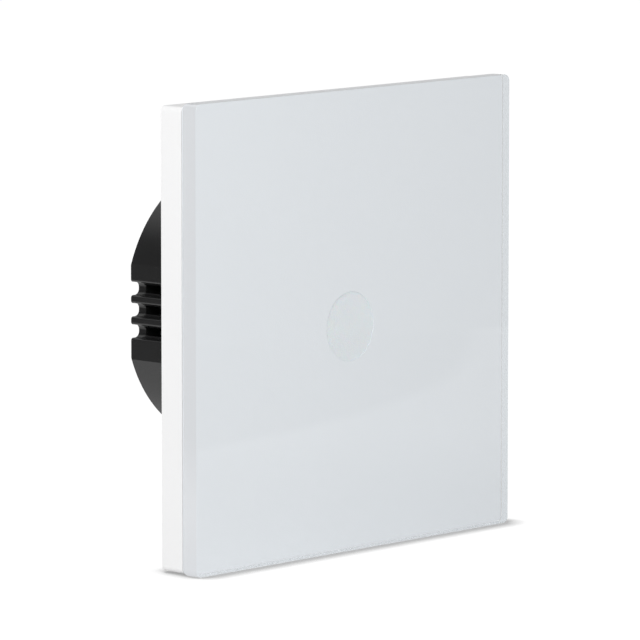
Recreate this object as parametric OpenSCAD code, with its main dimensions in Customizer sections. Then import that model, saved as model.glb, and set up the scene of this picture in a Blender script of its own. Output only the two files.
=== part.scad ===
// Touch light switch: a pull-off glass panel in front of a round wall box module.
// Every sub-part is drawn lying on its back, z = 0 at the wall plane and the glass facing +z.
// wall() then stands it up: +Z up, the front towards -Y, the origin on the housing's axis.

/* [Glass panel] */
// Width and height of the square glass
panel_w = 86; // [82:0.5:92]
// Thickness of the glass
glass_t = 3.5; // [2.5:0.1:5]
// Corner radius of the glass
glass_corner_r = 1.2; // [0.8:0.1:3]
// Width of the polished arris around both faces of the glass
glass_arris = 0.25; // [0.1:0.05:0.5]
// How far the middle of the frame sits below the housing's axis
panel_drop = 1.25; // [0:0.05:2]
// How far the middle of the glass sits above the middle of the frame
glass_lift = 0.25; // [0:0.05:0.4]
// Thickness of the white ink behind the glass
print_t = 0.1; // [0.05:0.01:0.2]
// Border of clear glass around the ink
print_inset = 0.1; // [0.1:0.1:1]
// Diameter of the round window in the ink, the touch point
touch_d = 13; // [10:0.1:14]
// How far the touch point sits below the middle of the frame
touch_drop = 1; // [0:0.1:2]
// Width of the diffuser's bonded rim around the window
diffuser_rim = 1.6; // [1:0.1:2.5]
// Depth of the recess in the diffuser's front
recess_depth = 0.1; // [0.1:0.02:0.7]
// Width of the recess's sloped rim
recess_slope = 1; // [0.2:0.1:2]

/* [Panel frame] */
// Step from the edge of the glass in to the frame
frame_inset = 0.5; // [0.2:0.1:1.5]
// Thickness of the frame's side walls
frame_wall = 1.8; // [1.2:0.1:2.5]
// Thickness of the frame's web behind the glass
frame_web = 1.5; // [1:0.1:2.5]
// Corner radius of the frame
frame_corner_r = 1; // [0.6:0.1:3]
// Height of the shadow gap between the glass and the frame's walls
seam_h = 0.7; // [0.2:0.1:0.8]
// How far the shadow gap runs in under the glass
seam_in = 0.8; // [0.4:0.1:1.2]
// Diameter of the pegs that hold the panel on
peg_d = 4.2; // [3:0.1:5]
// Distance from the plate's edge to the middle of a peg
peg_edge = 7.3; // [6:0.1:9]
// Width of the slit that makes a peg springy
peg_slit = 0.8; // [0.5:0.1:1.2]
// Width of the notch for prising the panel off
pry_w = 12; // [8:0.5:20]
// Height of the notch for prising the panel off
pry_h = 1.4; // [1:0.1:2]

/* [Mounting plate] */
// Thickness of the mounting plate
plate_t = 2; // [1.6:0.1:3]
// Corner radius of the mounting plate
plate_corner_r = 1.2; // [0.5:0.1:3]
// Distance between opposite wall box screws
box_pitch = 60; // [59.5:0.5:64]
// Width of a wall box slot
slot_w = 3.8; // [3.2:0.1:4.5]
// Length of a wall box slot, end to end
slot_l = 7; // [5:0.1:7.4]
// Depth of the seat that takes the housing's rim
seat_depth = 0.4; // [0.2:0.1:0.8]
// Height of the collar around a peg hole
collar_h = 1.4; // [0.8:0.1:1.6]
// Thickness of the collar's wall
collar_wall = 1.2; // [0.8:0.1:2]

/* [Front cover] */
// Thickness of the cover over the touch board
cover_t = 1.9; // [1.7:0.1:3]
// Diameter of the hole that the touch spring stands in
spring_hole_d = 10.6; // [9.8:0.1:12]
// Width of the cover outside the screw heads
cover_edge = 1.5; // [1:0.1:1.8]

/* [Rear housing] */
// Radius of the round housing
housing_r = 26; // [25.2:0.1:26]
// Depth of the housing behind the wall plane
housing_depth = 25.3; // [24.5:0.1:34]
// Thickness of the housing's side wall
housing_wall = 1.9; // [1.4:0.1:2]
// Thickness of the housing's rear wall
rear_wall = 1.85; // [1.4:0.05:2.4]
// How far the flats on both sides are cut in from the round
flat_cut = 1.6; // [1:0.1:2]
// Chamfer around the rear face
rear_chamfer = 0.1; // [0.1:0.1:1]
// Number of vent slots in each flat
vent_count = 3; // [1:1:4]
// Width of a vent slot
vent_w = 2.5; // [1.8:0.1:3]
// Distance between vent slots
vent_pitch = 4; // [3.8:0.1:4.4]
// How far the middle of the vent slots lies above the housing's axis
vent_lift = 0.3; // [0:0.1:0.6]
// Length of a vent slot along the housing
vent_l = 12; // [6:0.5:14]
// How much deeper than the side wall a vent slot is cut
vent_over = 0.2; // [0.1:0.05:0.4]
// Share of a vent slot's bottom that is round
vent_round = 0.88; // [0.2:0.02:0.94]
// Radius at the mouth of a vent slot
vent_mouth_r = 0.5; // [0.2:0.1:0.6]
// Diameter of a screw boss
boss_d = 5.2; // [4.6:0.1:5.6]

/* [Screws] */
// Shank diameter of a housing screw
screw_d = 2.3; // [2:0.1:2.6]
// Head diameter of a housing screw
screw_head_d = 4.4; // [3.8:0.1:4.6]
// Head height of a housing screw
screw_head_h = 1.1; // [0.8:0.1:1.2]
// Length of a housing screw below its head
screw_l = 14; // [8:0.5:18]

/* [Boards] */
// Thickness of the touch board
touch_board_t = 1.2; // [0.8:0.1:1.6]
// Thickness of the power board
power_board_t = 1.6; // [1:0.1:2]
// Wire diameter of the touch spring
spring_wire_d = 0.5; // [0.3:0.05:0.7]
// Outer diameter of the touch spring
spring_d = 8.8; // [7:0.1:9.2]
// Number of turns of the touch spring
spring_turns = 4; // [2:1:5]
// Number of pins between the boards
header_pin_count = 5; // [3:1:5]

/* [Relay] */
// Length of the relay
relay_l = 20.2; // [20:0.1:21]
// Width of the relay
relay_w = 10; // [9:0.1:10.4]
// Room left between the relay and the touch board
relay_room = 2.25; // [1.5:0.05:2.5]
// Air gap between the relay's armature and its pole
armature_gap = 0.6; // [0.55:0.05:0.7]
// Angle that the armature closes through
armature_angle = 4.5; // [3:0.1:4.6]

/* [Terminals] */
// Distance between terminals
terminal_pitch = 7.6; // [7.2:0.1:8]
// Height left for a wire in an open clamp
wire_gap = 3.4; // [2.6:0.1:3.8]
// Diameter of a wire entry hole
wire_hole_d = 3.2; // [2.6:0.1:3.4]
// Travel of a clamp cage from open to closed
clamp_travel = 2; // [1:0.1:2.4]
// Shank diameter of a clamp screw
clamp_screw_d = 2.6; // [2:0.1:3]
// Head diameter of a clamp screw
clamp_head_d = 3.8; // [3.4:0.1:4.4]

/* [Clearances] */
// Radial room of a running or sliding round fit
run_gap = 0.06; // [0.03:0.01:0.1]
// Room around a piece that is dropped into a pocket
drop_gap = 0.1; // [0.05:0.01:0.15]
// Room between pieces that move past each other
move_gap = 0.2; // [0.15:0.05:0.3]
// Room between the plate's edge and the frame's walls
plate_gap = 0.4; // [0.2:0.1:0.8]
// Room between the front cover and the frame's web
cover_gap = 0.4; // [0.3:0.1:1]

/* [Hidden] */
$fn = 64;
over = 1;

// Front stack, from the wall plane outwards
cover_z = plate_t;
cover_top = cover_z + cover_t;
web_z = cover_top + cover_gap;
frame_d = web_z + frame_web;
glass_z = frame_d + print_t;
diffuser_t = frame_web;
diffuser_z = frame_d - diffuser_t;
touch_r = touch_d / 2;
diffuser_r = touch_r + diffuser_rim;
window_r = diffuser_r + drop_gap;

// Squares of the front stack
frame_w = panel_w - 2 * frame_inset;
frame_in = frame_w - 2 * frame_wall;
pad_w = frame_w - 2 * seam_in;
plate_w = frame_in - 2 * plate_gap;
peg_at = plate_w / 2 - peg_edge;
peg_r = peg_d / 2;
peg_hole_r = peg_r + run_gap;
peg_tip_z = 0.4;
peg_chamfer = 0.4;
peg_root = 1;

// Housing
cavity_r = housing_r - housing_wall;
flat_x = housing_r - flat_cut;
cavity_x = flat_x - housing_wall;
rear_z = -housing_depth;
floor_z = rear_z + rear_wall;
rim_z = seat_depth;
seat_gap = 0.3;
seat_r = housing_r + seat_gap;
vent_depth = housing_wall + vent_over;
vent_floor_r = vent_round * vent_w / 2;
boss_r = boss_d / 2;
boss_set = 2;
boss_ring = cavity_r - boss_set;
boss_at = boss_ring / sqrt(2);
rib_w = 3;
rib_d = 1.8;
side_rib_y = 8.5;
wire_funnel_d = wire_hole_d + 2;
wire_funnel_h = 0.8;
label_w = 24;
label_h = 13;
label_y = 8;
label_depth = 0.3;
label_corner_r = 1.5;

// Screws
screw_r = screw_d / 2;
screw_hole_r = screw_r + drop_gap;
pilot_r = screw_r + run_gap;
head_r = screw_head_d / 2;
head_hole_r = head_r + move_gap;
head_z = cover_top - drop_gap - screw_head_h;
cross_w = 0.6;
cross_l = 2.8;
cross_depth = 0.7;

// Plate opening, cover and touch board
plate_land = 1.7;
board_gap = 0.5;
opening_r = boss_ring - screw_hole_r - plate_land;
cover_r = boss_ring + head_r + cover_edge;
spring_funnel = 0.8;
touch_board_r = opening_r - board_gap;
post_h = 1.4;
touch_top = plate_t - post_h;
touch_bottom = touch_top - touch_board_t;
post_set = 5.95;
post_x = touch_board_r - post_set;
post_y = -3;
post_r = 2.2;
board_screw_r = 0.8;
board_head_r = 1.6;
board_head_h = 1;
board_screw_in = 1;

// Terminals, from the block's lower side upwards (y) and from the rear wall forwards (z)
clamp_screw_r = clamp_screw_d / 2;
clamp_head_r = clamp_head_d / 2;
clamp_head_h = 1.8;
head_recess = 0.6;
head_web = 1;
cage_wall = 0.7;
cage_nut_t = 1.5;
cage_top_t = 0.8;
cage_l = 5;
bar_w = 3.4;
bar_t = 0.8;
tail_w = 1.2;
tail_over = 1.2;
block_wall = 1.1;
block_gap = 0.65;
cage_in_w = bar_w + 2 * move_gap;
cage_w = cage_in_w + 2 * cage_wall;
pocket_w = cage_w + 2 * move_gap;
block_w = 2 * terminal_pitch + pocket_w + 2 * block_wall;
block_y = -sqrt(pow(cavity_r - block_gap, 2) - pow(block_w / 2, 2));
web_y = block_y + head_recess + clamp_head_h + drop_gap;
cage_y = web_y + head_web + move_gap + clamp_travel;
bar_y = cage_y + cage_nut_t + move_gap;
wire_y = bar_y + bar_t + wire_gap / 2;
cage_top_y = bar_y + bar_t + wire_gap;
pocket_top_y = cage_top_y + cage_top_t + move_gap;
block_top_y = pocket_top_y + block_wall;
block_z = floor_z + drop_gap;
cage_z = block_z + block_wall + move_gap;
clamp_z = cage_z + cage_l / 2;
pocket_top_z = cage_z + cage_l + move_gap;
block_top_z = pocket_top_z + 2 * block_wall;
wire_lead_in = 0.4;
driver_hole_r = clamp_head_r + move_gap;
tip_y = bar_y - move_gap;

// Power board and what stands on it
power_z = block_top_z;
power_top = power_z + power_board_t;
power_r = cavity_r - board_gap;
power_x = cavity_x - board_gap;
board_room = touch_bottom - power_top;

// Link between the boards
header_pitch = 2.54;
header_edge = 2.5;
header_y = touch_board_r - header_edge;
header_w = 2.5;
header_h = 2.5;
header_l = header_pin_count * header_pitch;
socket_h = 6;
header_pin_w = 0.64;
pin_grip = 3;
pin_top = touch_bottom - socket_h + pin_grip;
header_pins_x = [for (i = [0 : header_pin_count - 1]) (i - (header_pin_count - 1) / 2) * header_pitch];

// Relay, with its own origin at its middle on the power board
row_gap = 1.1;
relay_y = header_y - header_w / 2 - row_gap - relay_w / 2;
relay_low = relay_y - relay_w / 2;
relay_h = board_room - relay_room;
relay_base_t = 1.2;
case_wall = 0.6;
pin_w = 0.8;
pin_over = 1.2;
relay_pins_at = [[-8.5, -2.5], [-8.5, 2.5], [8.4, 0], [4, 3]];
works_z = power_top + relay_base_t;
yoke_t = 0.8;
yoke_w = 5.6;
works_gap = 0.3;
yoke_x = -relay_l / 2 + case_wall + works_gap;
coil_reach = 5;
coil_x = yoke_x + coil_reach;
pole_r = 1.5;
armature_room = 2.2;
pole_z = works_z + relay_h - relay_base_t - case_wall - armature_room;
armature_z = pole_z + armature_gap;
armature_t = 0.8;
hinge_r = 0.5;
hinge_x = yoke_x + yoke_t / 2;
hinge_drop = 0.2;
hinge_z = armature_z - hinge_drop;
armature_l = 8.8;
bobbin_wall = 0.5;
flange_t = 0.6;
flange_r = 3.5;
bobbin_z = works_z + yoke_t;
pole_proud = 0.2;
bobbin_top = pole_z - pole_proud;
bobbin_r = pole_r + run_gap + bobbin_wall;
winding_inset = 0.3;
winding_r = flange_r - winding_inset;
blade_t = 0.2;
blade_w = 2.4;
blade_start = 1.2;
blade_x = hinge_x + blade_start;
fixed_leg_set = 1;
fixed_leg_x = relay_l / 2 - case_wall - fixed_leg_set;
contact_set = 1.7;
contact_x = fixed_leg_x - contact_set;
contact_r = 0.9;
contact_h = 1;
blade_tail = 1.3;
blade_end = contact_x + blade_tail;
contact_drop = (contact_x + contact_r - hinge_x) * tan(armature_angle);
fixed_top = armature_z + armature_t - contact_h - contact_drop - drop_gap;
fixed_tab_t = 0.4;

// Other parts on the power board: place and size
middle_y = (bar_y + bar_t + relay_low) / 2;
tall_room = 2.95;
film_set = 5.8;
film_size = [13, 5, board_room - tall_room];
film_at = [film_set + film_size.x / 2 - power_x, middle_y];
can_set = 7.3;
can_r = 4;
can_at = [power_x - can_set - can_r, middle_y];
can_h = board_room - tall_room;
can_groove_z = 1.4;
can_groove = 0.4;
choke_r = 3.8;
choke_at = [0, bar_y - choke_r - board_gap];
choke_h = 7.5;
choke_flange = 1.2;
choke_core_r = 1.8;
choke_winding_r = 3.3;
varistor_r = 3.6;
varistor_t = 3.4;
varistor_at = [-choke_r - row_gap - varistor_t / 2, bar_y - varistor_r - board_gap];
fuse_r = 1.5;
fuse_l = 6;
fuse_drop = 4;
fuse_at = [choke_r + row_gap + fuse_l / 2, bar_y - fuse_drop];
beside_relay = relay_l / 2 + row_gap;
bridge_size = [6, 4.6, 2.6];
bridge_at = [-beside_relay - bridge_size.x / 2, relay_low + bridge_size.y / 2];
regulator_size = [5, 4, 1.7];
regulator_at = [beside_relay + regulator_size.x / 2, relay_low + regulator_size.y / 2];
controller_at = [-9, -7];
controller_size = [5, 4, 1.4];
led_size = [3.4, 2.8, 0.9];
led_lens_r = 1.1;
led_lens_h = 1.5;

terminal_x = [-terminal_pitch, 0, terminal_pitch];
corners = [[1, 1], [-1, 1], [-1, -1], [1, -1]];

// Stands a piece up from the bench: bench y becomes +Z, bench z becomes -Y
module wall() {
  rotate([90, 0, 0]) children();
}

// Moves children to bench height z
module at_z(z) {
  translate([0, 0, z]) children();
}

// Moves children to the middle of the frame
module at_panel() {
  translate([0, -panel_drop, 0]) children();
}

// Moves children to the middle of the glass
module at_glass() {
  translate([0, glass_lift - panel_drop, 0]) children();
}

// Moves children to the touch point
module at_touch() {
  translate([0, -panel_drop - touch_drop, 0]) children();
}

// Flat rectangle with round corners, centred
module round_rect(w, h, r) {
  square([w - 2 * r, h], center = true);
  square([w, h - 2 * r], center = true);
  for (c = corners)
    translate([c.x * (w / 2 - r), c.y * (h / 2 - r)]) circle(r);
}

// Square slab with round corners and a chamfer around both faces
module arris_slab(w, t, r, c) {
  section = [
    [w / 2 - c, 0], [w / 2, c], [w / 2, t - c], [w / 2 - c, t],
    [c - w / 2, t], [-w / 2, t - c], [-w / 2, c], [c - w / 2, 0]
  ];
  straight = w - 2 * r;
  for (turn = [0, 90])
    rotate([0, 0, turn]) rotate([90, 0, 0])
      linear_extrude(straight, center = true) polygon(section);
  for (k = corners)
    translate([k.x * straight / 2, k.y * straight / 2])
      rotate_extrude() polygon([[0, 0], [r - c, 0], [r, c], [r, t - c], [r - c, t], [0, t]]);
}

// Box centred on x and y, standing on z = 0
module post_box(size) {
  translate([-size.x / 2, -size.y / 2, 0]) cube(size);
}

// Cylinder along +y, standing on y = 0
module rod_y(l, r) {
  rotate([-90, 0, 0]) cylinder(h = l, r = r);
}

// Tapered tip with a short chamfer, standing on z = 0 with the chamfer at the bottom
module peg_shape(h, r, c) {
  cylinder(h = c, r1 = r - c, r2 = r);
  at_z(c) cylinder(h = h - c, r = r);
}

// Flat outline of a wall box slot that runs along x
module slot_outline(l, w) {
  square([l - w, w], center = true);
  for (s = [-1, 1]) translate([s * (l - w) / 2, 0]) circle(w / 2);
}

// Four copies at the corners of a square
module at_corners(d) {
  for (c = corners) translate([c.x * d, c.y * d]) children();
}

// Cross-shaped driver recess, cut downwards from z = 0
module cross_recess() {
  at_z(-cross_depth)
    for (turn = [0, 90]) rotate([0, 0, turn]) post_box([cross_l, cross_w, cross_depth + over]);
}

// Section of a vent slot: the mouth at x = 0, the bottom at x = depth
module vent_outline(depth) {
  half = vent_w / 2;
  flat_half = half - vent_floor_r;
  translate([-over, -half]) square([depth - vent_floor_r + over, vent_w]);
  translate([-over, -flat_half]) square([depth + over, 2 * flat_half]);
  for (s = [-1, 1]) {
    translate([depth - vent_floor_r, s * flat_half]) circle(vent_floor_r);
    difference() {
      translate([-over, s * (half + vent_mouth_r / 2) - vent_mouth_r / 2])
        square([vent_mouth_r + over, vent_mouth_r]);
      translate([vent_mouth_r, s * (half + vent_mouth_r)]) circle(vent_mouth_r);
    }
  }
}

module glass_panel() wall() color([0.86, 0.9, 0.92, 0.5])
  at_glass() at_z(glass_z) arris_slab(panel_w, glass_t, glass_corner_r, glass_arris);

module back_print() wall() color([0.93, 0.94, 0.95])
  at_z(frame_d) linear_extrude(print_t) difference() {
    at_glass() round_rect(panel_w - 2 * print_inset, panel_w - 2 * print_inset, glass_corner_r);
    at_touch() circle(touch_r);
  }

module light_diffuser() wall() color([0.9, 0.92, 0.94]) {
  recess_z = diffuser_t - recess_depth;
  at_touch() at_z(diffuser_z) rotate_extrude() polygon([
    [0, 0], [diffuser_r, 0], [diffuser_r, diffuser_t], [touch_r, diffuser_t],
    [touch_r - recess_slope, recess_z], [0, recess_z]
  ]);
}

module panel_frame() wall() color([0.95, 0.95, 0.95]) at_panel() {
  difference() {
    union() {
      linear_extrude(frame_d - seam_h) round_rect(frame_w, frame_w, frame_corner_r);
      linear_extrude(frame_d) round_rect(pad_w, pad_w, frame_corner_r);
    }
    at_z(-over) linear_extrude(web_z + over)
      round_rect(frame_in, frame_in, plate_corner_r);
    translate([0, -touch_drop, web_z - over]) cylinder(h = frame_web + 2 * over, r = window_r);
    translate([0, -frame_w / 2, -over]) post_box([pry_w, 2 * frame_wall + over, pry_h + over]);
  }
  at_corners(peg_at) difference() {
    at_z(peg_tip_z) peg_shape(web_z - peg_tip_z, peg_r, peg_chamfer);
    at_z(-over) post_box([2 * peg_d, peg_slit, web_z - peg_root + over]);
  }
}

module mounting_plate() wall() color([0.92, 0.92, 0.91]) difference() {
  at_panel() {
    linear_extrude(plate_t) round_rect(plate_w, plate_w, plate_corner_r);
    at_corners(peg_at) cylinder(h = plate_t + collar_h, r = peg_hole_r + collar_wall);
  }
  at_panel() at_corners(peg_at) at_z(-over)
    cylinder(h = plate_t + collar_h + 2 * over, r = peg_hole_r);
  at_z(-over) cylinder(h = plate_t + 2 * over, r = opening_r);
  at_z(-over) cylinder(h = seat_depth + over, r = seat_r);
  at_corners(boss_at) at_z(-over) cylinder(h = plate_t + 2 * over, r = screw_hole_r);
  for (turn = [0, 90, 180, 270])
    rotate([0, 0, turn]) translate([box_pitch / 2, 0, -over])
      linear_extrude(plate_t + 2 * over) slot_outline(slot_l, slot_w);
}

module front_cover() wall() color([0.93, 0.93, 0.92]) {
  difference() {
    at_z(cover_z) cylinder(h = cover_t, r = cover_r);
    at_touch() {
      at_z(cover_z - over) cylinder(h = cover_t + 2 * over, d = spring_hole_d);
      at_z(cover_top - spring_funnel)
        cylinder(h = 2 * spring_funnel, d1 = spring_hole_d, d2 = spring_hole_d + 4 * spring_funnel);
    }
    at_corners(boss_at) {
      at_z(cover_z - over) cylinder(h = cover_t + 2 * over, r = screw_hole_r);
      at_z(head_z) cylinder(h = cover_t, r = head_hole_r);
    }
  }
  for (s = [-1, 1])
    translate([s * post_x, post_y, 0]) difference() {
      at_z(touch_top) cylinder(h = cover_z - touch_top, r = post_r);
      at_z(touch_top - over) cylinder(h = board_screw_in + 2 * drop_gap + over, r = board_screw_r + run_gap);
    }
}

module housing_screws() wall() color([0.72, 0.73, 0.75])
  at_corners(boss_at) difference() {
    union() {
      at_z(head_z) cylinder(h = screw_head_h, r = head_r);
      at_z(head_z - screw_l) peg_shape(screw_l, screw_r, screw_r / 2);
    }
    at_z(head_z + screw_head_h) cross_recess();
  }

module rear_housing() wall() color([0.16, 0.16, 0.17]) difference() {
  union() {
    difference() {
      housing_shell();
      intersection() {
        at_z(floor_z) cylinder(h = housing_depth + rim_z, r = cavity_r);
        at_z(floor_z) post_box([2 * cavity_x, 3 * cavity_r, housing_depth + rim_z]);
      }
    }
    intersection() {
      housing_shell();
      at_z(floor_z - rear_wall / 2) housing_inner_posts();
    }
  }
  at_corners(boss_at) at_z(floor_z) cylinder(h = housing_depth + rim_z, r = pilot_r);
  for (side = [0, 1], i = [0 : vent_count - 1])
    mirror([side, 0, 0])
      translate([-flat_x, vent_lift + (i - (vent_count - 1) / 2) * vent_pitch, rear_z - over])
        linear_extrude(vent_l + over) vent_outline(vent_depth);
  for (x = terminal_x) {
    translate([x, wire_y, rear_z - over]) cylinder(h = rear_wall + 2 * over, d = wire_hole_d);
    translate([x, wire_y, rear_z]) cylinder(h = wire_funnel_h, d1 = wire_funnel_d, d2 = wire_hole_d);
    translate([x, -housing_r - over, clamp_z]) rod_y(housing_r + block_y + over, driver_hole_r);
  }
  translate([0, label_y, rear_z - over])
    linear_extrude(label_depth + over) round_rect(label_w, label_h, label_corner_r);
}

// Solid outer shape of the housing: a round cup with a flat on each side
module housing_shell() {
  intersection() {
    rotate_extrude() polygon([
      [0, rear_z], [housing_r - rear_chamfer, rear_z], [housing_r, rear_z + rear_chamfer],
      [housing_r, rim_z], [0, rim_z]
    ]);
    at_z(rear_z - over) post_box([2 * flat_x, 3 * housing_r, housing_depth + rim_z + 2 * over]);
  }
}

// Screw bosses and the ribs that carry the power board, standing on z = 0
module housing_inner_posts() {
  foot = rear_wall / 2;
  at_corners(boss_at) cylinder(h = rim_z - floor_z + foot, r = boss_r);
  rib_h = power_z - floor_z + foot;
  translate([0, cavity_r - rib_d / 2 + over / 2, 0]) post_box([rib_w, rib_d + over, rib_h]);
  for (s = [-1, 1])
    translate([s * (cavity_x - rib_d / 2 + over / 2), side_rib_y, 0]) post_box([rib_d + over, rib_w, rib_h]);
}

module touch_board() wall() color([0.1, 0.36, 0.2]) difference() {
  at_z(touch_bottom) cylinder(h = touch_board_t, r = touch_board_r);
  for (s = [-1, 1])
    translate([s * post_x, post_y, touch_bottom - over])
      cylinder(h = touch_board_t + 2 * over, r = board_screw_r + run_gap);
}

module touch_board_screws() wall() color([0.72, 0.73, 0.75])
  for (s = [-1, 1])
    translate([s * post_x, post_y, touch_bottom - board_head_h]) {
      cylinder(h = board_head_h, r = board_head_r);
      cylinder(h = board_head_h + touch_board_t + board_screw_in, r = board_screw_r);
    }

// Points around the spring's wire at step i of its helix
function spring_ring(i, steps, rise, r, wire_r, sides) =
  let (turn = 360 * spring_turns * i / steps, height = wire_r + rise * i / steps)
  [for (k = [0 : sides - 1])
    let (a = 360 * k / sides, reach = r + wire_r * cos(a))
    [reach * cos(turn), reach * sin(turn), height + wire_r * sin(a)]];

module touch_spring() wall() color([0.8, 0.78, 0.7]) {
  sides = 8;
  wire_r = spring_wire_d / 2;
  steps = 16 * spring_turns;
  rise = diffuser_z - touch_top - drop_gap - spring_wire_d;
  points = [for (i = [0 : steps]) each spring_ring(i, steps, rise, spring_d / 2 - wire_r, wire_r, sides)];
  skin = [for (i = [0 : steps - 1], k = [0 : sides - 1])
    let (a = i * sides + k, b = i * sides + (k + 1) % sides)
    each [[a, b, a + sides], [b, b + sides, a + sides]]];
  first_cap = [for (k = [1 : sides - 2]) [0, k + 1, k]];
  last = steps * sides;
  last_cap = [for (k = [1 : sides - 2]) [last, last + k, last + k + 1]];
  at_touch() at_z(touch_top) polyhedron(points, concat(skin, first_cap, last_cap));
}

module indicator_led() wall() color([0.95, 0.95, 0.9]) at_touch() at_z(touch_top) {
  post_box(led_size);
  cylinder(h = led_lens_h, r = led_lens_r);
}

module touch_controller() wall() color([0.13, 0.13, 0.14])
  translate([controller_at.x, controller_at.y, touch_bottom - controller_size.z]) post_box(controller_size);

module header_socket() wall() color([0.13, 0.13, 0.14]) difference() {
  translate([0, header_y, touch_bottom - socket_h]) post_box([header_l, header_w, socket_h]);
  for (x = header_pins_x)
    translate([x, header_y, touch_bottom - socket_h - over])
      post_box([header_pin_w + 2 * drop_gap, header_pin_w + 2 * drop_gap, pin_grip + 2 * drop_gap + over]);
}

module header_base() wall() color([0.13, 0.13, 0.14]) difference() {
  translate([0, header_y, power_top]) post_box([header_l, header_w, header_h]);
  header_pin_row(power_top - over, power_top + header_h + over, drop_gap);
}

module header_pins() wall() color([0.85, 0.7, 0.35])
  header_pin_row(power_z - pin_over, pin_top, 0);

// Square header pins from z0 to z1, with room added on each side
module header_pin_row(z0, z1, room) {
  for (x = header_pins_x)
    translate([x, header_y, z0]) post_box([header_pin_w + 2 * room, header_pin_w + 2 * room, z1 - z0]);
}

module power_board() wall() color([0.1, 0.36, 0.2]) difference() {
  intersection() {
    at_z(power_z) cylinder(h = power_board_t, r = power_r);
    at_z(power_z - over) post_box([2 * power_x, 3 * power_r, power_board_t + 2 * over]);
  }
  at_corners(boss_at) at_z(power_z - over) cylinder(h = power_board_t + 2 * over, r = boss_r + plate_gap);
  header_pin_row(power_z - over, power_top + over, drop_gap);
  relay_pin_row(power_z - over, power_top + over, drop_gap);
  bar_tails(power_z - over, power_top + over, drop_gap);
}

// Places the relay's pieces over its middle
module at_relay() {
  translate([0, relay_y, 0]) children();
}

module relay_base() wall() color([0.2, 0.22, 0.26])
  at_relay() at_z(power_top) post_box([relay_l, relay_w, relay_base_t]);

// Square relay pins from z0 to z1, with room added on each side
module relay_pin_row(z0, z1, room) {
  at_relay() for (p = relay_pins_at)
    translate([p.x, p.y, z0]) post_box([pin_w + 2 * room, pin_w + 2 * room, z1 - z0]);
}

module relay_pins() wall() color([0.85, 0.7, 0.35])
  relay_pin_row(power_z - pin_over, power_top, 0);

module relay_case() wall() color([0.15, 0.3, 0.6]) at_relay() difference() {
  at_z(works_z) post_box([relay_l, relay_w, relay_h - relay_base_t]);
  at_z(works_z - over)
    post_box([relay_l - 2 * case_wall, relay_w - 2 * case_wall, relay_h - relay_base_t - case_wall + over]);
}

module relay_bobbin() wall() color([0.9, 0.88, 0.8]) at_relay() translate([coil_x, 0, 0]) difference() {
  union() {
    at_z(bobbin_z) cylinder(h = bobbin_top - bobbin_z, r = bobbin_r);
    at_z(bobbin_z) cylinder(h = flange_t, r = flange_r);
    at_z(bobbin_top - flange_t) cylinder(h = flange_t, r = flange_r);
  }
  at_z(bobbin_z - over) cylinder(h = bobbin_top - bobbin_z + 2 * over, r = pole_r + run_gap);
}

module relay_winding() wall() color([0.72, 0.4, 0.2]) at_relay() translate([coil_x, 0, 0]) {
  h = bobbin_top - bobbin_z - 2 * flange_t;
  at_z(bobbin_z + flange_t) difference() {
    cylinder(h = h, r = winding_r);
    at_z(-over) cylinder(h = h + 2 * over, r = bobbin_r);
  }
}

module relay_core() wall() color([0.62, 0.63, 0.65]) at_relay() {
  translate([coil_x, 0, works_z]) cylinder(h = pole_z - works_z, r = pole_r);
  translate([yoke_x, -yoke_w / 2, works_z]) cube([coil_x - yoke_x + pole_r, yoke_w, yoke_t]);
  translate([yoke_x, -yoke_w / 2, works_z]) cube([yoke_t, yoke_w, hinge_z - works_z]);
  translate([hinge_x, -yoke_w / 2, hinge_z]) rod_y(yoke_w, hinge_r);
}

module relay_armature() wall() color([0.7, 0.71, 0.73]) at_relay() difference() {
  translate([hinge_x - hinge_r, -yoke_w / 2, armature_z]) cube([armature_l, yoke_w, armature_t]);
  translate([hinge_x, -yoke_w / 2 - over, hinge_z]) rod_y(yoke_w + 2 * over, hinge_r + run_gap);
}

module contact_blade() wall() color([0.8, 0.6, 0.35]) at_relay() {
  translate([blade_x, -blade_w / 2, armature_z + armature_t]) cube([blade_end - blade_x, blade_w, blade_t]);
  translate([contact_x, 0, armature_z + armature_t - contact_h])
    cylinder(h = contact_h + blade_t / 2, r = contact_r);
}

module fixed_contact() wall() color([0.8, 0.6, 0.35]) at_relay() {
  tab_z = fixed_top - contact_h;
  translate([contact_x, 0, tab_z]) cylinder(h = contact_h, r = contact_r);
  translate([contact_x - contact_r, -blade_w / 2, tab_z - fixed_tab_t])
    cube([fixed_leg_x + fixed_tab_t - contact_x + contact_r, blade_w, fixed_tab_t]);
  translate([fixed_leg_x, -blade_w / 2, works_z]) cube([fixed_tab_t, blade_w, tab_z - works_z]);
}

module film_capacitor() wall() color([0.85, 0.65, 0.1])
  translate([film_at.x, film_at.y, power_top]) post_box(film_size);

module electrolytic_capacitor() wall() color([0.12, 0.13, 0.2])
  translate([can_at.x, can_at.y, power_top]) rotate_extrude() polygon([
    [0, 0], [can_r, 0], [can_r, can_groove_z],
    [can_r - can_groove, can_groove_z + can_groove], [can_r, can_groove_z + 2 * can_groove],
    [can_r, can_h], [0, can_h]
  ]);

module choke_core() wall() color([0.2, 0.2, 0.21])
  translate([choke_at.x, choke_at.y, power_top]) {
    cylinder(h = choke_h, r = choke_core_r);
    for (z = [0, choke_h - choke_flange]) at_z(z) cylinder(h = choke_flange, r = choke_r);
  }

module choke_winding() wall() color([0.72, 0.4, 0.2])
  translate([choke_at.x, choke_at.y, power_top + choke_flange]) difference() {
    h = choke_h - 2 * choke_flange;
    cylinder(h = h, r = choke_winding_r);
    at_z(-over) cylinder(h = h + 2 * over, r = choke_core_r);
  }

module varistor() wall() color([0.15, 0.35, 0.65])
  translate([varistor_at.x - varistor_t / 2, varistor_at.y, power_top + varistor_r])
    rotate([0, 90, 0]) cylinder(h = varistor_t, r = varistor_r);

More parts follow.
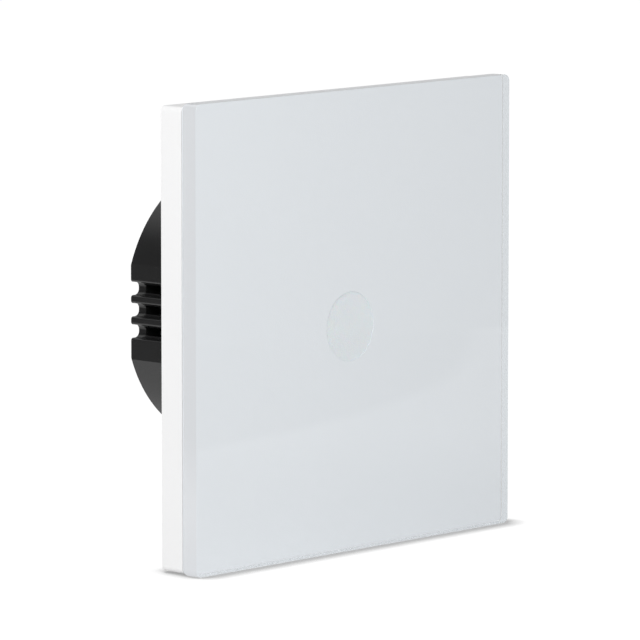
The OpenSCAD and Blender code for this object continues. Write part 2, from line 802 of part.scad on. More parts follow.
module fuse() wall() color([0.6, 0.3, 0.15])
  translate([fuse_at.x - fuse_l / 2, fuse_at.y, power_top + fuse_r])
    rotate([0, 90, 0]) cylinder(h = fuse_l, r = fuse_r);

module bridge_rectifier() wall() color([0.13, 0.13, 0.14])
  translate([bridge_at.x, bridge_at.y, power_top]) post_box(bridge_size);

module voltage_regulator() wall() color([0.13, 0.13, 0.14])
  translate([regulator_at.x, regulator_at.y, power_top]) post_box(regulator_size);

module terminal_block() wall() color([0.2, 0.45, 0.3]) difference() {
  translate([-block_w / 2, block_y, block_z])
    cube([block_w, block_top_y - block_y, block_top_z - block_z]);
  for (x = terminal_x) {
    translate([x - pocket_w / 2, web_y + head_web, block_z + block_wall])
      cube([pocket_w, pocket_top_y - web_y - head_web, pocket_top_z - block_z - block_wall]);
    translate([x, wire_y, block_z - over])
      cylinder(h = block_wall + 2 * over, r = wire_hole_d / 2 + wire_lead_in);
    translate([x, block_y - over, clamp_z]) rod_y(web_y - block_y + over, driver_hole_r);
    translate([x, block_y, clamp_z]) rod_y(web_y - block_y + head_web + over, clamp_screw_r + run_gap);
    translate([x - bar_w / 2 - drop_gap, bar_y - drop_gap, block_z + block_wall])
      cube([bar_w + 2 * drop_gap, bar_t + 2 * drop_gap, block_top_z - block_z]);
  }
  at_corners(boss_at) at_z(block_z - over)
    cylinder(h = block_top_z - block_z + 2 * over, r = boss_r + plate_gap);
}

// Solder tails of the terminal bars from z0 to z1, with room added on each side
module bar_tails(z0, z1, room) {
  for (x = terminal_x)
    translate([x - tail_w / 2 - room, bar_y - room, z0]) cube([tail_w + 2 * room, bar_t + 2 * room, z1 - z0]);
}

module terminal_bars() wall() color([0.85, 0.68, 0.3]) {
  bar_z = block_z + block_wall + move_gap;
  for (x = terminal_x)
    translate([x - bar_w / 2, bar_y, bar_z]) cube([bar_w, bar_t, power_z - bar_z]);
  bar_tails(power_z - over, power_top + tail_over, 0);
}

// Rising clamp: a ring around the bar with the screw's thread in its lower side
module clamp_cage(x) {
  h = cage_top_y + cage_top_t - cage_y;
  translate([x, 0, 0]) difference() {
    translate([-cage_w / 2, cage_y, cage_z]) cube([cage_w, h, cage_l]);
    translate([-cage_in_w / 2, cage_y + cage_nut_t, cage_z - over])
      cube([cage_in_w, h - cage_nut_t - cage_top_t, cage_l + 2 * over]);
    translate([0, cage_y - over, clamp_z]) rod_y(cage_nut_t + 2 * over, clamp_screw_r + run_gap);
  }
}

// Clamp screw: a slotted head in the block's counterbore, the shank up to just under the bar
module clamp_screw(x) {
  head_y = block_y + head_recess;
  slit_w = 0.7;
  slit_depth = 0.8;
  translate([x, head_y, clamp_z]) difference() {
    union() {
      rod_y(clamp_head_h, clamp_head_r);
      rod_y(tip_y - head_y, clamp_screw_r);
    }
    translate([-clamp_head_d, -over, -slit_w / 2]) cube([2 * clamp_head_d, slit_depth + over, slit_w]);
  }
}

module clamp_cage_left() wall() color([0.75, 0.76, 0.78]) clamp_cage(terminal_x[0]);
module clamp_cage_middle() wall() color([0.75, 0.76, 0.78]) clamp_cage(terminal_x[1]);
module clamp_cage_right() wall() color([0.75, 0.76, 0.78]) clamp_cage(terminal_x[2]);
module clamp_screw_left() wall() color([0.8, 0.8, 0.76]) clamp_screw(terminal_x[0]);
module clamp_screw_middle() wall() color([0.8, 0.8, 0.76]) clamp_screw(terminal_x[1]);
module clamp_screw_right() wall() color([0.8, 0.8, 0.76]) clamp_screw(terminal_x[2]);

glass_panel();
back_print();
light_diffuser();
panel_frame();
mounting_plate();
front_cover();
housing_screws();
rear_housing();
touch_board();
touch_board_screws();
touch_spring();
indicator_led();
touch_controller();
header_socket();
header_base();
header_pins();
power_board();
relay_base();
relay_pins();
relay_case();
relay_bobbin();
relay_winding();
relay_core();
relay_armature();
contact_blade();
fixed_contact();
film_capacitor();
electrolytic_capacitor();
choke_core();
choke_winding();
varistor();
fuse();
bridge_rectifier();
voltage_regulator();
terminal_block();
terminal_bars();
clamp_cage_left();
clamp_cage_middle();
clamp_cage_right();
clamp_screw_left();
clamp_screw_middle();
clamp_screw_right();
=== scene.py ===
"""Dresses the touch light switch: clear glass over white ink, moulded plastics, boards, coils and metal.

The solids of the part stay where they are. The pane, the ink, the diffuser, the spring and the windings
are modelled here in their place, and every other solid gets soft edges and a finish.
"""

import logging
import math
from abc import ABC, abstractmethod
from collections.abc import Callable
from dataclasses import dataclass
from enum import Enum

import bpy
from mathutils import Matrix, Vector

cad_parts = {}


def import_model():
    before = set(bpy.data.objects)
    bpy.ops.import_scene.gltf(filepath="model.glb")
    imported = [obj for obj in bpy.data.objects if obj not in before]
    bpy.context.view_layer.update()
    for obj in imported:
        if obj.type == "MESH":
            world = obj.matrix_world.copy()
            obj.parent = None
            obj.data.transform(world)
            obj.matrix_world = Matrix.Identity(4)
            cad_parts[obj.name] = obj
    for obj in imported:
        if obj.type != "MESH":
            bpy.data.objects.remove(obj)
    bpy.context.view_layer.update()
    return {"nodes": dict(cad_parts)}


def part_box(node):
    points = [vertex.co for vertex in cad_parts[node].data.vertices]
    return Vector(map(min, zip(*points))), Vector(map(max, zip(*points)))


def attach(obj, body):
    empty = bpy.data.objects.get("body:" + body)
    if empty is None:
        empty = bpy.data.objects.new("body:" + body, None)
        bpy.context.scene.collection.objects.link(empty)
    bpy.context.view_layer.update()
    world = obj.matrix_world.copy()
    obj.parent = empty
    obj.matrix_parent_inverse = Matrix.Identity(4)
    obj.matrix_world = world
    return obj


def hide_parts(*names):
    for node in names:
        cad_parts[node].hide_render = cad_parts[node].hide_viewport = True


LOG = logging.getLogger("touch_switch")
MM = 0.001

Colour = tuple[float, float, float]
Stretch = tuple[float, float, float]
Span = tuple[float, float]
Socket = bpy.types.NodeSocket
Choice = Callable[[Vector, Vector], bool]

# Stretches that leave a pattern as it is, or flatten it along one axis.
EVEN: Stretch = (1.0, 1.0, 1.0)
FLAT_ALONG_Y: Stretch = (1.0, 0.0, 1.0)
FLAT_ALONG_Z: Stretch = (1.0, 1.0, 0.0)


class Body(Enum):
    """The bodies that new pieces ride on."""

    MODULE = "module"
    PANEL = "panel"


class Edge(Enum):
    """How far the edges of a moulded or stamped solid are rounded, in metres."""

    MOULDED = 0.2 * MM
    FINE = 0.08 * MM
    TINY = 0.04 * MM


class MixSockets(Enum):
    """Where a Mix node has its mask, its two values and its result, for each type of data."""

    FLOAT = (0, 2, 3, 0)
    RGBA = (0, 6, 7, 2)


class ShaderSheet:
    """One shader tree, with short ways to add and join its nodes."""

    def __init__(self, tree: bpy.types.NodeTree) -> None:
        """Keep the tree that the nodes go into."""
        self.tree = tree

    @classmethod
    def cleared(cls, owner: bpy.types.Material | bpy.types.World) -> "ShaderSheet":
        """Give an owner of shaders an empty tree.

        Args:
            owner: A material or the world.

        Returns:
            The sheet for its tree.
        """
        owner.use_nodes = True
        owner.node_tree.nodes.clear()
        return cls(owner.node_tree)

    def add(self, kind: str, inputs: dict[str, object] | None = None, **settings: object) -> bpy.types.Node:
        """Add a node.

        Args:
            kind: Blender's name of the node type.
            inputs: Values or output sockets for the named input sockets.
            settings: Properties of the node itself.

        Returns:
            The new node.
        """
        node = self.tree.nodes.new(kind)
        for name, value in settings.items():
            setattr(node, name, value)
        for name, value in (inputs or {}).items():
            self.feed(node.inputs[name], value)
        return node

    def feed(self, socket: Socket, value: object) -> None:
        """Link an output socket to an input, or set the input's own value.

        Args:
            socket: The input socket.
            value: An output socket, a number, a vector or a colour.
        """
        if isinstance(value, bpy.types.NodeSocket):
            self.tree.links.new(value, socket)
        elif socket.type == "RGBA" and len(value) == 3:
            socket.default_value = (*value, 1.0)
        else:
            socket.default_value = value

    def math(self, operation: str, first: object, second: object) -> Socket:
        """Add a math node.

        Args:
            operation: Blender's name of the operation.
            first: The first number or socket.
            second: The second number or socket.

        Returns:
            The result socket.
        """
        node = self.add("ShaderNodeMath", operation=operation)
        for socket, value in zip(node.inputs, (first, second)):
            self.feed(socket, value)
        return node.outputs[0]

    def spread(self, value: Socket, low: float, high: float, start: float = 0.0, end: float = 1.0) -> Socket:
        """Map one range of a value onto another, held at its ends.

        Args:
            value: The value.
            low: The result at the start.
            high: The result at the end.
            start: Where the value's range begins.
            end: Where the value's range ends.

        Returns:
            The mapped value.
        """
        node = self.add(
            "ShaderNodeMapRange",
            {"Value": value, "From Min": start, "From Max": end, "To Min": low, "To Max": high},
        )
        return node.outputs["Result"]

    def mix(self, kind: MixSockets, mask: Socket, first: object, second: object) -> Socket:
        """Add a mix node.

        Args:
            kind: The type of data that it mixes.
            mask: 0 gives the first value, 1 the second.
            first: A value or socket.
            second: A value or socket.

        Returns:
            The mixed value.
        """
        node = self.add("ShaderNodeMix", data_type=kind.name)
        *entries, result = kind.value
        for index, value in zip(entries, (mask, first, second)):
            self.feed(node.inputs[index], value)
        return node.outputs[result]

    def pick(self, mask: Socket, first: object, second: object) -> Socket:
        """Blend two numbers: a mask of 0 gives the first, 1 the second."""
        return self.mix(MixSockets.FLOAT, mask, first, second)

    def blend(self, mask: Socket, first: object, second: object) -> Socket:
        """Blend two colours: a mask of 0 gives the first, 1 the second."""
        return self.mix(MixSockets.RGBA, mask, first, second)

    def mottled(self, tone: Socket, colour: Colour, dark_share: float) -> Socket:
        """Vary a colour: a tone of 0 gives its darker share, 1 the colour itself."""
        return self.blend(tone, tuple(channel * dark_share for channel in colour), colour)

    def coordinates(self, centre: Vector | None = None, stretch: Stretch = EVEN) -> Socket:
        """Give the piece's own coordinates, in metres.

        Args:
            centre: The point that becomes the pattern's middle, or None for the frame's origin.
            stretch: How much each axis is scaled, so below 1 draws a pattern out.

        Returns:
            The coordinate socket.
        """
        own = self.add("ShaderNodeTexCoord").outputs["Object"]
        if centre is None and stretch == EVEN:
            return own
        moved = tuple(-c * s for c, s in zip(centre or Vector(), stretch))
        mapping = self.add("ShaderNodeMapping", {"Vector": own, "Location": moved, "Scale": stretch})
        return mapping.outputs["Vector"]

    def surface(self, inputs: dict[str, object]) -> Socket:
        """Add the main shader with these inputs and return its output."""
        return self.add("ShaderNodeBsdfPrincipled", inputs).outputs["BSDF"]

    def clear(self) -> Socket:
        """Add a shader that lets everything through and return its output."""
        return self.add("ShaderNodeBsdfTransparent").outputs["BSDF"]

    def either(self, mask: object, first: Socket, second: Socket) -> Socket:
        """Mix two shaders.

        Args:
            mask: 0 gives the first shader, 1 the second.
            first: A shader socket.
            second: A shader socket.

        Returns:
            The mixed shader.
        """
        node = self.add("ShaderNodeMixShader")
        for socket, value in zip(node.inputs, (mask, first, second)):
            self.feed(socket, value)
        return node.outputs[0]

    def relief(self, height: Socket, depth: float) -> Socket:
        """Turn a height mask into a bumped normal, its relief so many metres deep."""
        return self.add("ShaderNodeBump", {"Height": height, "Distance": depth}).outputs["Normal"]


class SharedGroup(ABC):
    """A shader group that several finishes use, built on its first use."""

    name: str
    inputs: dict[str, str]
    outputs: dict[str, str]

    @classmethod
    def place(cls, sheet: ShaderSheet, inputs: dict[str, object]) -> bpy.types.NodeOutputs:
        """Place the group in a material.

        Args:
            sheet: The material's tree.
            inputs: Values or sockets for the group's inputs.

        Returns:
            The group's outputs.
        """
        node = sheet.add("ShaderNodeGroup", node_tree=cls.tree())
        for label, value in inputs.items():
            sheet.feed(node.inputs[label], value)
        return node.outputs

    @classmethod
    def tree(cls) -> bpy.types.NodeTree:
        """Find the group's tree, or make it.

        Returns:
            The tree.
        """
        found = bpy.data.node_groups.get(cls.name)
        if found:
            return found
        made = bpy.data.node_groups.new(cls.name, "ShaderNodeTree")
        for way, sockets in (("INPUT", cls.inputs), ("OUTPUT", cls.outputs)):
            for label, kind in sockets.items():
                made.interface.new_socket(label, in_out=way, socket_type=f"NodeSocket{kind}")
        sheet = ShaderSheet(made)
        entry = sheet.add("NodeGroupInput")
        result = sheet.add("NodeGroupOutput")
        for label, socket in cls.draw(sheet, entry.outputs).items():
            sheet.feed(result.inputs[label], socket)
        return made

    @classmethod
    @abstractmethod
    def draw(cls, sheet: ShaderSheet, entry: bpy.types.NodeOutputs) -> dict[str, Socket]:
        """Draw the group's nodes.

        Args:
            sheet: The group's tree.
            entry: The group's inputs, as sockets to read.

        Returns:
            A socket for each output.
        """


class MouldGrain(SharedGroup):
    """The fine eroded texture of a mould, with slow changes of shade across the moulding."""

    name = "mould_grain"
    inputs = {"Vector": "Vector", "Grain Scale": "Float", "Mottle Scale": "Float"}
    outputs = {"Height": "Float", "Tone": "Float"}
    grain_detail = 3.0
    grain_roughness = 0.6
    mottle_detail = 2.0

    @classmethod
    def on(cls, sheet: ShaderSheet, grain: float, mottle: float) -> bpy.types.NodeOutputs:
        """Place the grain on the piece's own coordinates.

        Args:
            sheet: The material's tree.
            grain: The size of the fine grain in metres.
            mottle: The size of the patches of shade in metres.

        Returns:
            The group's outputs.
        """
        scales = {"Grain Scale": 1 / grain, "Mottle Scale": 1 / mottle}
        return cls.place(sheet, {"Vector": sheet.coordinates(), **scales})

    @classmethod
    def draw(cls, sheet: ShaderSheet, entry: bpy.types.NodeOutputs) -> dict[str, Socket]:
        """Draw two noises, a fine one for relief and a broad one for shade.

        Args:
            sheet: The group's tree.
            entry: The group's inputs.

        Returns:
            The relief's height and the tone of the shade.
        """
        fine = sheet.add(
            "ShaderNodeTexNoise",
            {
                "Vector": entry["Vector"],
                "Scale": entry["Grain Scale"],
                "Detail": cls.grain_detail,
                "Roughness": cls.grain_roughness,
            },
        )
        broad = sheet.add(
            "ShaderNodeTexNoise",
            {"Vector": entry["Vector"], "Scale": entry["Mottle Scale"], "Detail": cls.mottle_detail},
        )
        return {"Height": fine.outputs[0], "Tone": broad.outputs[0]}


class DrawnStreaks(SharedGroup):
    """Lines left by drawing, rolling or turning metal, with a broader change of shade."""

    name = "drawn_streaks"
    inputs = {"Vector": "Vector", "Streak Scale": "Float"}
    outputs = {"Height": "Float", "Tone": "Float"}
    line_detail = 4.0
    cloud_share = 0.15
    cloud_detail = 3.0

    @classmethod
    def draw(cls, sheet: ShaderSheet, entry: bpy.types.NodeOutputs) -> dict[str, Socket]:
        """Draw fine streaks over clouds of tarnish.

        Args:
            sheet: The group's tree.
            entry: The group's inputs.

        Returns:
            The streaks' height and the tone of the tarnish.
        """
        lines = sheet.add(
            "ShaderNodeTexNoise",
            {"Vector": entry["Vector"], "Scale": entry["Streak Scale"], "Detail": cls.line_detail},
        )
        cloud_scale = sheet.math("MULTIPLY", entry["Streak Scale"], cls.cloud_share)
        clouds = sheet.add(
            "ShaderNodeTexNoise",
            {"Vector": entry["Vector"], "Scale": cloud_scale, "Detail": cls.cloud_detail},
        )
        return {"Height": lines.outputs[0], "Tone": clouds.outputs[0]}


class RoundSpot(SharedGroup):
    """A round spot about the pattern's middle."""

    name = "round_spot"
    inputs = {"Vector": "Vector", "Radius": "Float", "Softness": "Float"}
    outputs = {"Mask": "Float"}

    @classmethod
    def draw(cls, sheet: ShaderSheet, entry: bpy.types.NodeOutputs) -> dict[str, Socket]:
        """Draw the spot: 1 inside, falling to 0 at the radius over the softness.

        Args:
            sheet: The group's tree.
            entry: The group's inputs.

        Returns:
            The spot's mask.
        """
        length = sheet.add("ShaderNodeVectorMath", {"Vector": entry["Vector"]}, operation="LENGTH")
        room = sheet.math("SUBTRACT", entry["Radius"], length.outputs["Value"])
        share = sheet.math("DIVIDE", room, entry["Softness"])
        clamp = sheet.add("ShaderNodeClamp", {"Value": share})
        return {"Mask": clamp.outputs[0]}


class BoardTraces(SharedGroup):
    """Copper tracks and vias that show through a solder mask."""

    name = "board_traces"
    inputs = {"Vector": "Vector", "Pitch Scale": "Float"}
    outputs = {"Tracks": "Float", "Vias": "Float"}
    scatter = 0.85
    track_reach = 0.09
    via_reach = 0.13

    @classmethod
    def draw(cls, sheet: ShaderSheet, entry: bpy.types.NodeOutputs) -> dict[str, Socket]:
        """Draw the borders of cells as tracks and their middles as vias.

        Args:
            sheet: The group's tree.
            entry: The group's inputs.

        Returns:
            The masks of the tracks and of the vias.
        """
        flat = sheet.add("ShaderNodeMapping", {"Vector": entry["Vector"], "Scale": FLAT_ALONG_Y})
        cells = {"Vector": flat.outputs[0], "Scale": entry["Pitch Scale"], "Randomness": cls.scatter}
        borders = sheet.add(
            "ShaderNodeTexVoronoi", cells, feature="DISTANCE_TO_EDGE", distance="CHEBYCHEV"
        )
        middles = sheet.add("ShaderNodeTexVoronoi", cells)
        return {
            "Tracks": sheet.math("LESS_THAN", borders.outputs["Distance"], cls.track_reach),
            "Vias": sheet.math("LESS_THAN", middles.outputs["Distance"], cls.via_reach),
        }


@dataclass(frozen=True)
class Finish(ABC):
    """A finish, named for its slot in the record or for the faces that it covers."""

    slot: str

    def material(self) -> bpy.types.Material:
        """Find the finish's material, or make it.

        Returns:
            The material.
        """
        name = f"{self.slot}_finish"
        found = bpy.data.materials.get(name)
        if found:
            return found
        made = bpy.data.materials.new(name)
        sheet = ShaderSheet.cleared(made)
        sheet.add("ShaderNodeOutputMaterial", {"Surface": self.shade(sheet)})
        return made

    @abstractmethod
    def shade(self, sheet: ShaderSheet) -> Socket:
        """Draw the finish's nodes.

        Args:
            sheet: The material's tree.

        Returns:
            The surface.
        """


@dataclass(frozen=True)
class MouldedPlastic(Finish):
    """Injection-moulded or cast plastic with an eroded texture."""

    colour: Colour
    roughness: Span = (0.36, 0.44)
    grain: float = 0.22 * MM
    grain_depth: float = 0.003 * MM
    mottle: float = 9 * MM
    dark_share: float = 0.975
    shine: float = 0.5
    coat: float = 0.0
    glow_through: float = 0.0
    glow_reach: float = 1 * MM

    def shade(self, sheet: ShaderSheet) -> Socket:
        """Draw the plastic: mottled colour, uneven gloss and grain relief.

        Args:
            sheet: The material's tree.

        Returns:
            The surface.
        """
        grain = MouldGrain.on(sheet, self.grain, self.mottle)
        return sheet.surface(
            {
                "Base Color": sheet.mottled(grain["Tone"], self.colour, self.dark_share),
                "Roughness": sheet.spread(grain["Tone"], *self.roughness),
                "Normal": sheet.relief(grain["Height"], self.grain_depth),
                "Specular IOR Level": self.shine,
                "Coat Weight": self.coat,
                "Subsurface Weight": self.glow_through,
                "Subsurface Scale": self.glow_reach,
            }
        )


@dataclass(frozen=True)
class Metal(Finish):
    """Drawn, rolled or plated metal."""

    colour: Colour
    roughness: Span = (0.22, 0.38)
    streak: float = 0.25 * MM
    stretch: Stretch = (1.0, 0.12, 1.0)
    streak_depth: float = 0.002 * MM
    dark_share: float = 0.82
    lacquer: float = 0.0

    def shade(self, sheet: ShaderSheet) -> Socket:
        """Draw the metal: tarnish clouds, uneven gloss and fine lines.

        Args:
            sheet: The material's tree.

        Returns:
            The surface.
        """
        drawn_out = sheet.coordinates(stretch=self.stretch)
        streaks = DrawnStreaks.place(sheet, {"Vector": drawn_out, "Streak Scale": 1 / self.streak})
        return sheet.surface(
            {
                "Base Color": sheet.mottled(streaks["Tone"], self.colour, self.dark_share),
                "Roughness": sheet.spread(streaks["Tone"], *self.roughness),
                "Normal": sheet.relief(streaks["Height"], self.streak_depth),
                "Metallic": 1.0,
                "Coat Weight": self.lacquer,
            }
        )


@dataclass(frozen=True)
class ClearGlass(Finish):
    """Polished float glass."""

    tint: Colour
    roughness: Span = (0.0, 0.012)
    index: float = 1.5
    smudge: float = 22 * MM

    def shade(self, sheet: ShaderSheet) -> Socket:
        """Draw the glass: clear all through, with the faintest uneven polish, and open to the ink's light.

        Args:
            sheet: The material's tree.

        Returns:
            The surface.
        """
        polish = MouldGrain.place(sheet, {"Vector": sheet.coordinates(), "Mottle Scale": 1 / self.smudge})
        glass = sheet.surface(
            {
                "Base Color": self.tint,
                "Roughness": sheet.spread(polish["Tone"], *self.roughness),
                "IOR": self.index,
                "Transmission Weight": 1.0,
            }
        )
        path = sheet.add("ShaderNodeLightPath").outputs
        lights_ink = sheet.math("MAXIMUM", path["Is Shadow Ray"], path["Is Diffuse Ray"])
        return sheet.either(lights_ink, glass, sheet.clear())


@dataclass(frozen=True)
class ScreenInk(Finish):
    """White ink printed in several passes on the back of the glass."""

    colour: Colour
    weave: float = 0.12 * MM
    cloud: float = 30 * MM
    dark_share: float = 0.985
    roughness: Span = (0.55, 0.7)
    shine: float = 0.0

    def shade(self, sheet: ShaderSheet) -> Socket:
        """Draw the ink: even white with the trace of the printing screen.

        Args:
            sheet: The material's tree.

        Returns:
            The surface.
        """
        marks = MouldGrain.on(sheet, self.weave, self.cloud)
        return sheet.surface(
            {
                "Base Color": sheet.mottled(marks["Tone"], self.colour, self.dark_share),
                "Roughness": sheet.spread(marks["Height"], *self.roughness),
                "Specular IOR Level": self.shine,
            }
        )


@dataclass(frozen=True)
class SolderMask(Finish):
    """Glass fibre board under a green solder mask."""

    mask: Colour
    track: Colour
    solder: Colour
    pitch: float = 2.6 * MM
    weave: float = 0.4 * MM
    cloud: float = 8 * MM
    dark_share: float = 0.85
    roughness: Span = (0.25, 0.4)
    track_depth: float = 0.02 * MM
    coat: float = 0.2

    def shade(self, sheet: ShaderSheet) -> Socket:
        """Draw the board: mask, tracks that show through it, and tinned vias.

        Args:
            sheet: The material's tree.

        Returns:
            The surface.
        """
        traces = BoardTraces.place(sheet, {"Vector": sheet.coordinates(), "Pitch Scale": 1 / self.pitch})
        grain = MouldGrain.on(sheet, self.weave, self.cloud)
        mask = sheet.mottled(grain["Tone"], self.mask, self.dark_share)
        tracked = sheet.blend(traces["Tracks"], mask, self.track)
        return sheet.surface(
            {
                "Base Color": sheet.blend(traces["Vias"], tracked, self.solder),
                "Metallic": traces["Vias"],
                "Roughness": sheet.spread(grain["Height"], *self.roughness),
                "Normal": sheet.relief(traces["Tracks"], self.track_depth),
                "Coat Weight": self.coat,
            }
        )


@dataclass(frozen=True)
class SpottedResin(Finish):
    """A moulding with a round spot of another finish in the middle of its end."""

    colour: Colour
    spot: Colour
    spot_metal: float
    node: str
    radius: float
    softness: float = 0.08 * MM
    grain: float = 0.15 * MM
    grain_depth: float = 0.002 * MM
    mottle: float = 3 * MM
    dark_share: float = 0.9
    roughness: Span = (0.3, 0.4)

    def shade(self, sheet: ShaderSheet) -> Socket:
        """Draw the moulding with its spot, about the node's own axis.

        Args:
            sheet: The material's tree.

        Returns:
            The surface.
        """
        low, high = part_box(self.node)
        grain = MouldGrain.on(sheet, self.grain, self.mottle)
        across = sheet.coordinates((low + high) / 2, FLAT_ALONG_Y)
        spot = RoundSpot.place(
            sheet, {"Vector": across, "Radius": self.radius, "Softness": self.softness}
        )["Mask"]
        moulding = sheet.mottled(grain["Tone"], self.colour, self.dark_share)
        return sheet.surface(
            {
                "Base Color": sheet.blend(spot, moulding, self.spot),
                "Metallic": sheet.math("MULTIPLY", spot, self.spot_metal),
                "Roughness": sheet.spread(grain["Tone"], *self.roughness),
                "Normal": sheet.relief(grain["Height"], self.grain_depth),
            }
        )


FINISHES: dict[str, Finish] = {
    finish.slot: finish
    for finish in (
        ClearGlass("glass", (0.972, 0.99, 0.988)),
        ScreenInk("white_ink", (0.83, 0.858, 0.89)),
        MouldedPlastic("diffuser", (0.833, 0.863, 0.893), (0.4, 0.5), glow_through=0.15),
        MouldedPlastic("white_frame", (0.9, 0.9, 0.903), (0.42, 0.5), shine=0.3, dark_share=0.99),
        MouldedPlastic("white_module", (0.84, 0.84, 0.83), (0.38, 0.46), dark_share=0.985),
        MouldedPlastic("black_housing", (0.017, 0.017, 0.0173), (0.16, 0.24), shine=0.3, dark_share=0.8),
        Metal("zinc_steel", (0.62, 0.64, 0.66)),
        Metal("tinned_steel", (0.72, 0.71, 0.68), (0.18, 0.3)),
        Metal("soft_iron", (0.46, 0.46, 0.47), (0.35, 0.5)),
        Metal("brass", (0.76, 0.56, 0.27), (0.24, 0.36)),
        Metal("copper_wire", (0.68, 0.3, 0.13), (0.22, 0.32), streak=0.5 * MM, lacquer=0.5),
        SolderMask(
            "circuit_board", mask=(0.015, 0.13, 0.055), track=(0.03, 0.21, 0.09), solder=(0.7, 0.7, 0.68)
        ),
        MouldedPlastic("black_resin", (0.02, 0.02, 0.022), (0.45, 0.6), grain=0.1 * MM, dark_share=0.8),
        MouldedPlastic("brown_resin", (0.22, 0.08, 0.03), (0.3, 0.4), coat=0.2, dark_share=0.85),
        MouldedPlastic("green_resin", (0.035, 0.2, 0.09), (0.38, 0.48), dark_share=0.9),
        MouldedPlastic("blue_case", (0.03, 0.11, 0.36), (0.4, 0.5), dark_share=0.9),
        MouldedPlastic("yellow_case", (0.72, 0.42, 0.04), (0.35, 0.45), dark_share=0.92),
        MouldedPlastic("bobbin_resin", (0.78, 0.73, 0.62), (0.4, 0.5), dark_share=0.94),
        SpottedResin(
            "capacitor_sleeve", (0.02, 0.022, 0.05), spot=(0.7, 0.71, 0.72), spot_metal=1.0,
            node="electrolytic_capacitor", radius=3.4 * MM,
        ),
        SpottedResin(
            "led_resin", (0.85, 0.85, 0.8), spot=(0.85, 0.66, 0.12), spot_metal=0.0,
            node="indicator_led", radius=0.8 * MM,
        ),
        MouldedPlastic("ferrite", (0.035, 0.034, 0.036), (0.5, 0.65), grain=0.08 * MM, dark_share=0.75),
    )
}

# The pane's sides and its rear arris are cut and ground; their grey tints are painted shade, which darkens
# the lines along the pane's edges.
EDGE_GLASS_SHADED = ClearGlass("glass_edge", (0.892, 0.877, 0.867))
ARRIS_GLASS_SHADED = ClearGlass("glass_arris", (0.74, 0.74, 0.74))


